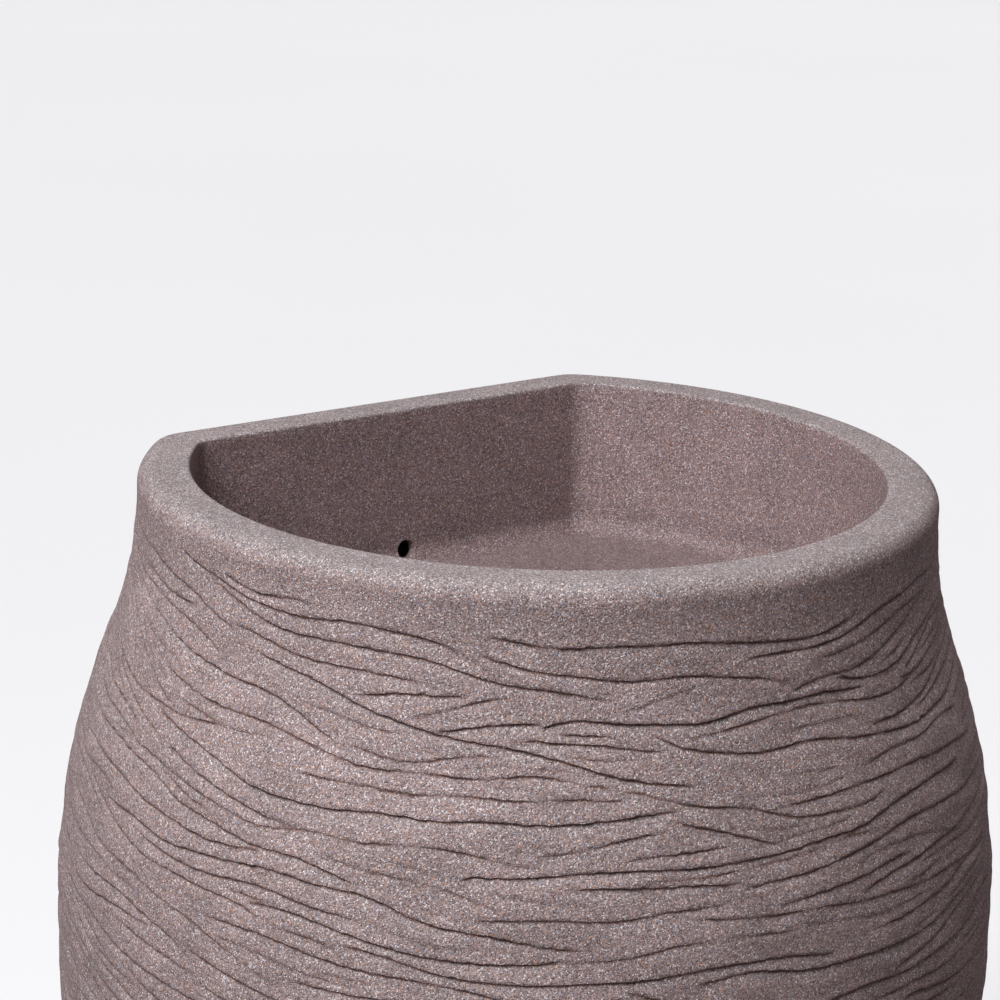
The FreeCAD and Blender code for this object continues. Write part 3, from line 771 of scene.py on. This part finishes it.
# ---------------------------------------------------------------- material helpers
def plug(tree, socket, value):
    if isinstance(value, bpy.types.NodeSocket):
        tree.links.new(value, socket)
    elif socket.type == "RGBA" and len(value) == 3:
        socket.default_value = (*value, 1)
    else:
        socket.default_value = value


def node(tree, kind, inputs=None, **settings):
    made = tree.nodes.new("ShaderNode" + kind)
    for key, value in settings.items():
        setattr(made, key, value)
    for key, value in (inputs or {}).items():
        plug(tree, made.inputs[key], value)
    return made


def grey(value):
    return (value, value, value)


def ramp(tree, factor, stops, interpolation="LINEAR"):
    made = node(tree, "ValToRGB", {"Fac": factor})
    made.color_ramp.interpolation = interpolation
    elements = made.color_ramp.elements
    while len(elements) < len(stops):
        elements.new(0.5)
    for element, (place, colour) in zip(elements, stops):
        element.position, element.color = place, (*colour, 1)
    return made.outputs["Color"]


def mix(tree, factor, a, b, blend="MIX"):
    made = node(tree, "Mix", data_type="RGBA", blend_type=blend)
    for key, value in ((0, factor), (6, a), (7, b)):
        plug(tree, made.inputs[key], value)
    return made.outputs[2]


def tinted(tree, base, tint):
    return mix(tree, 1.0, base, tint, "MULTIPLY")


def maths(tree, operation, a, b):
    return node(tree, "Math", {0: a, 1: b}, operation=operation).outputs[0]


def product(tree, a, b):
    return maths(tree, "MULTIPLY", a, b)


def mask(tree, value, low, high, top=1.0):
    """Grey value that is 0 up to low and rises to top at high."""
    return ramp(tree, value, [(low, grey(0.0)), (high, grey(top))])


def map_range(tree, value, low, high, to_low=0.0, to_high=1.0):
    inputs = {"Value": value, "From Min": low, "From Max": high, "To Min": to_low, "To Max": to_high}
    return node(tree, "MapRange", inputs).outputs[0]


def noise(tree, coord, scale, detail=3.0):
    return node(tree, "TexNoise", {"Vector": coord, "Scale": scale, "Detail": detail}).outputs["Fac"]


def cells(tree, coord, scale):
    """Random grey value per grain, and the distance from the grain's centre."""
    made = node(tree, "TexVoronoi", {"Vector": coord, "Scale": scale})
    return node(tree, "SeparateColor", {"Color": made.outputs["Color"]}).outputs[0], made.outputs["Distance"]


def facing_up(tree):
    normal = node(tree, "NewGeometry").outputs["Normal"]
    return node(tree, "SeparateXYZ", {"Vector": normal}).outputs["Z"]


def edge_wear(tree, radius):
    """Mask that is bright along rounded edges, and the rounded normal itself."""
    soft = node(tree, "Bevel", {"Radius": radius}, samples=4).outputs[0]
    plain = node(tree, "NewGeometry").outputs["Normal"]
    agree = node(tree, "VectorMath", {0: soft, 1: plain}, operation="DOT_PRODUCT").outputs["Value"]
    return maths(tree, "SUBTRACT", 1.0, agree), soft


def make_material(name, paint):
    material = bpy.data.materials.new(name)
    material.use_nodes = True
    tree = material.node_tree
    shader, coord = tree.nodes["Principled BSDF"], node(tree, "TexCoord").outputs["Object"]
    for key, value in paint(tree, coord).items():
        plug(tree, shader.inputs[key], value)
    return material


def bumped(tree, height, distance, strength, normal=None):
    inputs = {"Height": height, "Distance": distance, "Strength": strength}
    return node(tree, "Bump", inputs if normal is None else {**inputs, "Normal": normal}).outputs[0]


def surface(base, roughness, normal, metallic=0.0):
    return {"Base Color": base, "Roughness": roughness, "Normal": normal, "Metallic": metallic}


# ---------------------------------------------------------------- materials
# Grains: how many per metre, and where each colour starts in their random value
COARSE_SCALE, FINE_SCALE, FINE_SHARE = 1250.0, 2400.0, 0.38
COARSE_GRAINS = [
    (0.0, (0.030, 0.020, 0.019)),       # near-black
    (0.14, (0.115, 0.076, 0.073)),      # dark mauve-brown
    (0.34, (0.205, 0.146, 0.142)),      # mauve-brown
    (0.58, (0.285, 0.218, 0.214)),      # pale mauve-brown
    (0.78, (0.390, 0.325, 0.325)),      # mauve-grey
    (0.875, (0.68, 0.65, 0.65)),        # off-white
    (0.93, (0.46, 0.225, 0.12)),        # rust
    (0.965, (0.17, 0.20, 0.29)),        # blue-grey
]
FINE_GRAINS = [
    (0.0, (0.065, 0.043, 0.041)),       # dark mauve-brown
    (0.25, (0.200, 0.142, 0.138)),      # mauve-brown
    (0.55, (0.285, 0.218, 0.214)),      # pale mauve-brown
    (0.82, (0.54, 0.50, 0.50)),         # off-white
    (0.91, (0.40, 0.21, 0.11)),         # rust
    (0.955, (0.19, 0.22, 0.31)),        # blue-grey
]
BOWL_SHADE_TINTS = ((0.63, 0.58, 0.59), (0.86, 0.80, 0.81))       # painted shade with a darker resin: at the floor, and 30 mm above it
# Painted shade along the strokes' creases, by crease share
CREASE_SHADE_TINTS = [(0.0, (1.0, 1.0, 1.0)), (0.3, (0.95, 0.92, 0.91)), (0.7, (0.58, 0.44, 0.40)),
                (1.0, (0.36, 0.24, 0.21))]
BRASS, TARNISH, RUBBED_BRASS = (0.72, 0.53, 0.26), (0.33, 0.21, 0.10), (0.85, 0.67, 0.38)
CHIPPED_BRASS = (0.62, 0.46, 0.24)
GREENS = ((0.010, 0.070, 0.030), (0.022, 0.105, 0.050))
STEELS = [(0.3, (0.50, 0.50, 0.49)), (0.7, (0.70, 0.70, 0.69))]
RUBBERS = [(0.45, (0.018, 0.018, 0.018)), (0.8, (0.06, 0.058, 0.055))]
CORDS = [(0.2, (0.05, 0.048, 0.045)), (0.9, (0.21, 0.20, 0.19))]
BLACK, DUST, RUBBED_BLACK = (0.026, 0.026, 0.028), (0.20, 0.185, 0.17), (0.09, 0.09, 0.092)


def stone_resin(tree, coord):
    """Speckled stone-look resin, darker in the bowl (painted shade, and a darker resin there) and in the
    creases (painted shade), paler on the rim (painted sheen, with wear) and in the strokes (painted
    highlight).
    """
    coarse, coarse_gap = cells(tree, coord, COARSE_SCALE)
    fine, fine_gap = cells(tree, coord, FINE_SCALE)
    coarse_colour = ramp(tree, coarse, COARSE_GRAINS, "CONSTANT")
    base = mix(tree, FINE_SHARE, coarse_colour, ramp(tree, fine, FINE_GRAINS, "CONSTANT"))
    mottle = ramp(tree, noise(tree, coord, 26.0, 4.0), [(0.25, grey(0.88)), (0.75, grey(1.10))])
    base = tinted(tree, base, mottle)

    bowl, trough, crease_shade = (node(tree, "Attribute", attribute_name=name).outputs["Fac"]
                            for name in ("bowl", "trough", "crease_shade"))
    height = node(tree, "SeparateXYZ", {"Vector": coord}).outputs["Z"]
    floor = HEIGHT - BOWL_DEPTH
    # Painted shade inside the bowl, deepest at its floor, together with a less frosted, darker resin there.
    bowl_shade = mix(tree, map_range(tree, height, floor, floor + 30 * MM), *BOWL_SHADE_TINTS)
    base = mix(tree, bowl, base, tinted(tree, base, bowl_shade))

    # Paler and greyer on the rim's top, a painted sheen with some wear, and in the strokes, a painted
    # highlight on their upward slopes.
    top = map_range(tree, height, HEIGHT - 9 * MM, HEIGHT - 1 * MM)
    crown = product(tree, top, maths(tree, "SUBTRACT", 1.0, bowl))
    sheen_and_wear = maths(tree, "MAXIMUM", crown, product(tree, trough, 0.8))
    pale = node(tree, "HueSaturation", {"Color": base, "Saturation": 0.6, "Value": 0.95}).outputs[0]
    base = mix(tree, sheen_and_wear, base, pale)
    # Painted shade along the strokes' creases.
    base = tinted(tree, base, ramp(tree, crease_shade, CREASE_SHADE_TINTS))

    rough = ramp(tree, coarse, [(0.0, grey(0.72)), (0.88, grey(0.82)), (0.90, grey(0.5))], "CONSTANT")
    relief = maths(tree, "ADD", product(tree, coarse_gap, -1.0), product(tree, fine_gap, -0.5))
    strength = maths(tree, "SUBTRACT", 0.85, product(tree, bowl, 0.15))
    return surface(base, rough, bumped(tree, relief, 0.4 * MM, strength))


def brass(tree, coord, roughness, grain, tarnish):
    """Brass, tarnished in patches and rubbed bright along its edges."""
    worn, soft = edge_wear(tree, 0.8 * MM)
    dull = noise(tree, coord, 55.0, 5.0)
    base = mix(tree, mask(tree, dull, 0.42, 0.68, tarnish), BRASS, TARNISH)
    base = mix(tree, mask(tree, worn, 0.02, 0.15), base, RUBBED_BRASS)
    rough = maths(tree, "ADD", roughness - 0.08, product(tree, dull, 0.2))
    return surface(base, rough, bumped(tree, noise(tree, coord, 1400.0), 0.1 * MM, grain, soft), 1.0)


def cast_brass(tree, coord):
    return brass(tree, coord, roughness=0.42, grain=0.9, tarnish=0.75)


def turned_brass(tree, coord):
    return brass(tree, coord, roughness=0.25, grain=0.2, tarnish=0.35)


def green_enamel(tree, coord):
    """Dark green enamel, chipped to brass along the wheel's edges."""
    worn, soft = edge_wear(tree, 0.9 * MM)
    chips = product(tree, worn, product(tree, noise(tree, coord, 380.0, 5.0), 9.0))
    bare = mask(tree, chips, 0.62, 0.78)
    paint = mix(tree, noise(tree, coord, 60.0), *GREENS)
    rough = ramp(tree, bare, [(0.0, grey(0.28)), (1.0, grey(0.4))])
    bump = bumped(tree, noise(tree, coord, 420.0), 0.2 * MM, 0.35, soft)
    return surface(mix(tree, bare, paint, CHIPPED_BRASS), rough, bump, bare)


def stainless(tree, coord):
    """Brushed stainless steel."""
    stretched = node(tree, "Mapping", {"Vector": coord, "Scale": (1.0, 1.0, 14.0)}).outputs[0]
    brushed = noise(tree, stretched, 260.0, 6.0)
    _, soft = edge_wear(tree, 0.4 * MM)
    rough = maths(tree, "ADD", 0.2, product(tree, brushed, 0.22))
    return surface(ramp(tree, brushed, STEELS), rough, bumped(tree, brushed, 0.04 * MM, 0.6, soft), 1.0)


def rubber(tree, coord):
    """Matt black rubber with a chalky bloom."""
    bloom = ramp(tree, noise(tree, coord, 120.0, 6.0), RUBBERS)
    _, soft = edge_wear(tree, 0.5 * MM)
    return surface(bloom, 0.85, bumped(tree, noise(tree, coord, 2600.0), 0.08 * MM, 0.7, soft))


def graphite_packing(tree, coord):
    """Braided cord: two sets of crossing strands."""
    strands = [node(tree, "TexWave", {"Vector": coord, "Scale": 260.0, "Distortion": 1.5},
                    bands_direction=direction).outputs["Fac"] for direction in ("X", "DIAGONAL")]
    braid = maths(tree, "MAXIMUM", *strands)
    return surface(ramp(tree, braid, CORDS), 0.6, bumped(tree, braid, 0.3 * MM, 0.9))


def black_plastic(tree, coord):
    """Moulded black plastic: fine spark-eroded grain, rubbed edges and dust on its upper faces."""
    worn, soft = edge_wear(tree, 0.7 * MM)
    dust = product(tree, mask(tree, facing_up(tree), 0.35, 0.95, 0.5), noise(tree, coord, 90.0, 6.0))
    tone = mix(tree, mask(tree, worn, 0.03, 0.2, 0.5), mix(tree, dust, BLACK, DUST), RUBBED_BLACK)
    rough = maths(tree, "ADD", 0.4, product(tree, noise(tree, coord, 45.0), 0.18))
    return surface(tone, rough, bumped(tree, noise(tree, coord, 1900.0), 0.12 * MM, 0.7, soft))


MATERIALS = {
    "stone_resin": make_material("stone_resin", stone_resin),
    "brass": make_material("cast_brass", cast_brass),
    "turned": make_material("turned_brass", turned_brass),
    "wheel_paint": make_material("green_enamel", green_enamel),
    "steel": make_material("stainless", stainless),
    "rubber": make_material("rubber", rubber),
    "packing": make_material("graphite_packing", graphite_packing),
    "black_plastic": make_material("black_plastic", black_plastic),
}
TURNED = ("spigot_packing_nut", "spigot_locknut", "spigot_stem", "spigot_disc_holder", "spigot_seat_screw")


def dress(piece, material):
    piece.data.materials.clear()
    piece.data.materials.append(MATERIALS[material])


def add(piece, body, slot, *replaced):
    """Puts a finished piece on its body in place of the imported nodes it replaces."""
    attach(piece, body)
    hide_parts(*replaced)
    dress(piece, slot)


# ---------------------------------------------------------------- assembly
for part in frame["record"]["subparts"]:
    name = part["node"]
    dress(frame["nodes"][name], "turned" if name in TURNED else part["material_slot"])

diagonal = math.sqrt(0.5)
stem_axis, outlet_axis = Vector((0, -diagonal, diagonal)), Vector((0, -diagonal, -diagonal))
outlet_place = axis_matrix(VALVE_CENTRE + stem_axis * OUTLET_START, outlet_axis, stem_axis)
link_place = axis_matrix(LINK_SEAT, LEFT)
add(finished_shell(), "barrel", "stone_resin", "barrel_shell")
add(screen_cloth(), "inlet_screen", "steel", "inlet_screen_mesh")
add(threaded("spigot_body", outlet_place, HOSE_THREAD), "barrel", "brass", "spigot_body")
add(threaded("link_fitting", link_place, LINK_THREAD), "barrel", "black_plastic", "link_fitting")


# ---------------------------------------------------------------- stage
FLOOR_HALF, FLOOR_LEVEL = 40.0, -0.5 * MM
PAPERS = [(0.3, (0.475, 0.480, 0.485)), (0.7, (0.485, 0.490, 0.495))]
PAPER_BOUNCE = (0.17, 0.148, 0.148)
PAPER_GLOW, GLOW_STRENGTH = (0.955, 0.99, 0.995), 0.33
BASE_GAP = 2 * MM               # shorter paths start on the barrel's base

DAYLIGHT, BLUSH, BACKDROP = (0.985, 0.982, 1.0), (1.0, 0.85, 0.88), (0.95, 0.98, 1.0)
SKY_SIDE = (-0.9, -0.3, 0.3)    # where the sky is brightest
SKY_DIM, SKY_BRIGHT, BACKDROP_STRENGTH = 0.04, 0.34, 0.92
LIGHT_REACH = 1.6
KEY_ELEVATION = math.radians(50)
KEY_STRENGTH, KEY_ANGLE = 3.4, math.radians(38)
SOFT_BOX_POWER, SOFT_BOX_SIZE = 20, 1.1
FILL_BEAM = Vector((-0.81, -0.33, -0.485))
FILL_STRENGTH, FILL_ANGLE = 0.7, math.radians(60)

CAMERA_HEADING, CAMERA_DIP, CAMERA_TILT = (math.radians(angle) for angle in (37.3, 16.27, 1.83))
CAMERA_AIM = Vector((-74.5 * MM, -56 * MM, HEIGHT))
CAMERA_DISTANCE = 1.945
LENS, SENSOR = 108, 36


def pale_paper(tree, coord):
    """Pale backdrop with a faint glow, clear from below, that throws little light back on the barrel."""
    path = node(tree, "LightPath").outputs
    seen = path["Is Camera Ray"]
    from_base = maths(tree, "LESS_THAN", path["Ray Length"], BASE_GAP)
    clear = maths(tree, "MAXIMUM", node(tree, "NewGeometry").outputs["Backfacing"], from_base)
    return {"Base Color": mix(tree, seen, PAPER_BOUNCE, ramp(tree, noise(tree, coord, 0.8), PAPERS)),
            "Roughness": 0.9, "Alpha": maths(tree, "SUBTRACT", 1.0, clear),
            "Emission Color": PAPER_GLOW, "Emission Strength": product(tree, seen, GLOW_STRENGTH)}


def place_floor():
    corners = [(x * FLOOR_HALF, y * FLOOR_HALF, FLOOR_LEVEL) for x, y in ((-1, -1), (1, -1), (1, 1), (-1, 1))]
    floor = new_object("floor", mesh_from("floor", corners, [(0, 1, 2, 3)]))
    floor.data.materials.append(make_material("pale_paper", pale_paper))


def place_light(name, kind, energy, colour, beam):
    """A light aimed along beam at the middle of the rim, from LIGHT_REACH away."""
    lamp = bpy.data.lights.new(name, kind)
    lamp.energy, lamp.color = energy, colour
    light = bpy.data.objects.new(name, lamp)
    bpy.context.scene.collection.objects.link(light)
    turned = beam.to_track_quat("-Z", "Y").to_matrix().to_4x4()
    light.matrix_world = Matrix.Translation(Vector((0, 0, HEIGHT)) - beam * LIGHT_REACH) @ turned
    light.visible_camera = False
    return lamp


def place_lights():
    """Soft light from the left, a weak fill from behind on the right, and a dim sky that looks white."""
    world = bpy.data.worlds.new("studio")
    bpy.context.scene.world = world
    world.use_nodes = True
    tree = world.node_tree
    aim = node(tree, "TexCoord").outputs["Generated"]
    side = node(tree, "VectorMath", {0: aim, 1: SKY_SIDE}, operation="DOT_PRODUCT").outputs["Value"]
    sky = map_range(tree, side, -0.5, 0.9, SKY_DIM, SKY_BRIGHT)
    seen = node(tree, "LightPath").outputs["Is Camera Ray"]
    background = tree.nodes["Background"].inputs
    plug(tree, background["Strength"], node(tree, "Mix", {0: seen, 2: sky, 3: BACKDROP_STRENGTH}).outputs[0])
    plug(tree, background["Color"], mix(tree, seen, BLUSH, BACKDROP))
    level = math.cos(KEY_ELEVATION)
    beam = Vector((0.973 * level, 0.23 * level, -math.sin(KEY_ELEVATION)))
    place_light("key", "SUN", KEY_STRENGTH, DAYLIGHT, beam).angle = KEY_ANGLE
    soft_box = place_light("soft_box", "AREA", SOFT_BOX_POWER, DAYLIGHT, beam)
    soft_box.shape, soft_box.size = "DISK", SOFT_BOX_SIZE
    place_light("fill", "SUN", FILL_STRENGTH, BLUSH, FILL_BEAM).angle = FILL_ANGLE


def place_camera():
    """From the front left, looking down across the rim, with a long lens."""
    across, ahead = math.sin(CAMERA_HEADING), math.cos(CAMERA_HEADING)
    level = math.cos(CAMERA_DIP)
    forward = Vector((across * level, ahead * level, -math.sin(CAMERA_DIP)))
    side = Vector((ahead, -across, 0))
    right = side * math.cos(CAMERA_TILT) + side.cross(forward) * math.sin(CAMERA_TILT)
    rotation = Matrix((right, right.cross(forward), -forward)).transposed()
    lens = bpy.data.cameras.new("camera")
    lens.sensor_width, lens.lens = SENSOR, LENS
    lens.clip_start, lens.clip_end = 0.05, 200
    camera = bpy.data.objects.new("camera", lens)
    bpy.context.scene.collection.objects.link(camera)
    camera.matrix_world = Matrix.Translation(CAMERA_AIM - forward * CAMERA_DISTANCE) @ rotation.to_4x4()
    bpy.context.scene.camera = camera


place_floor()
place_lights()
place_camera()
bpy.context.scene.view_settings.view_transform = "Standard"
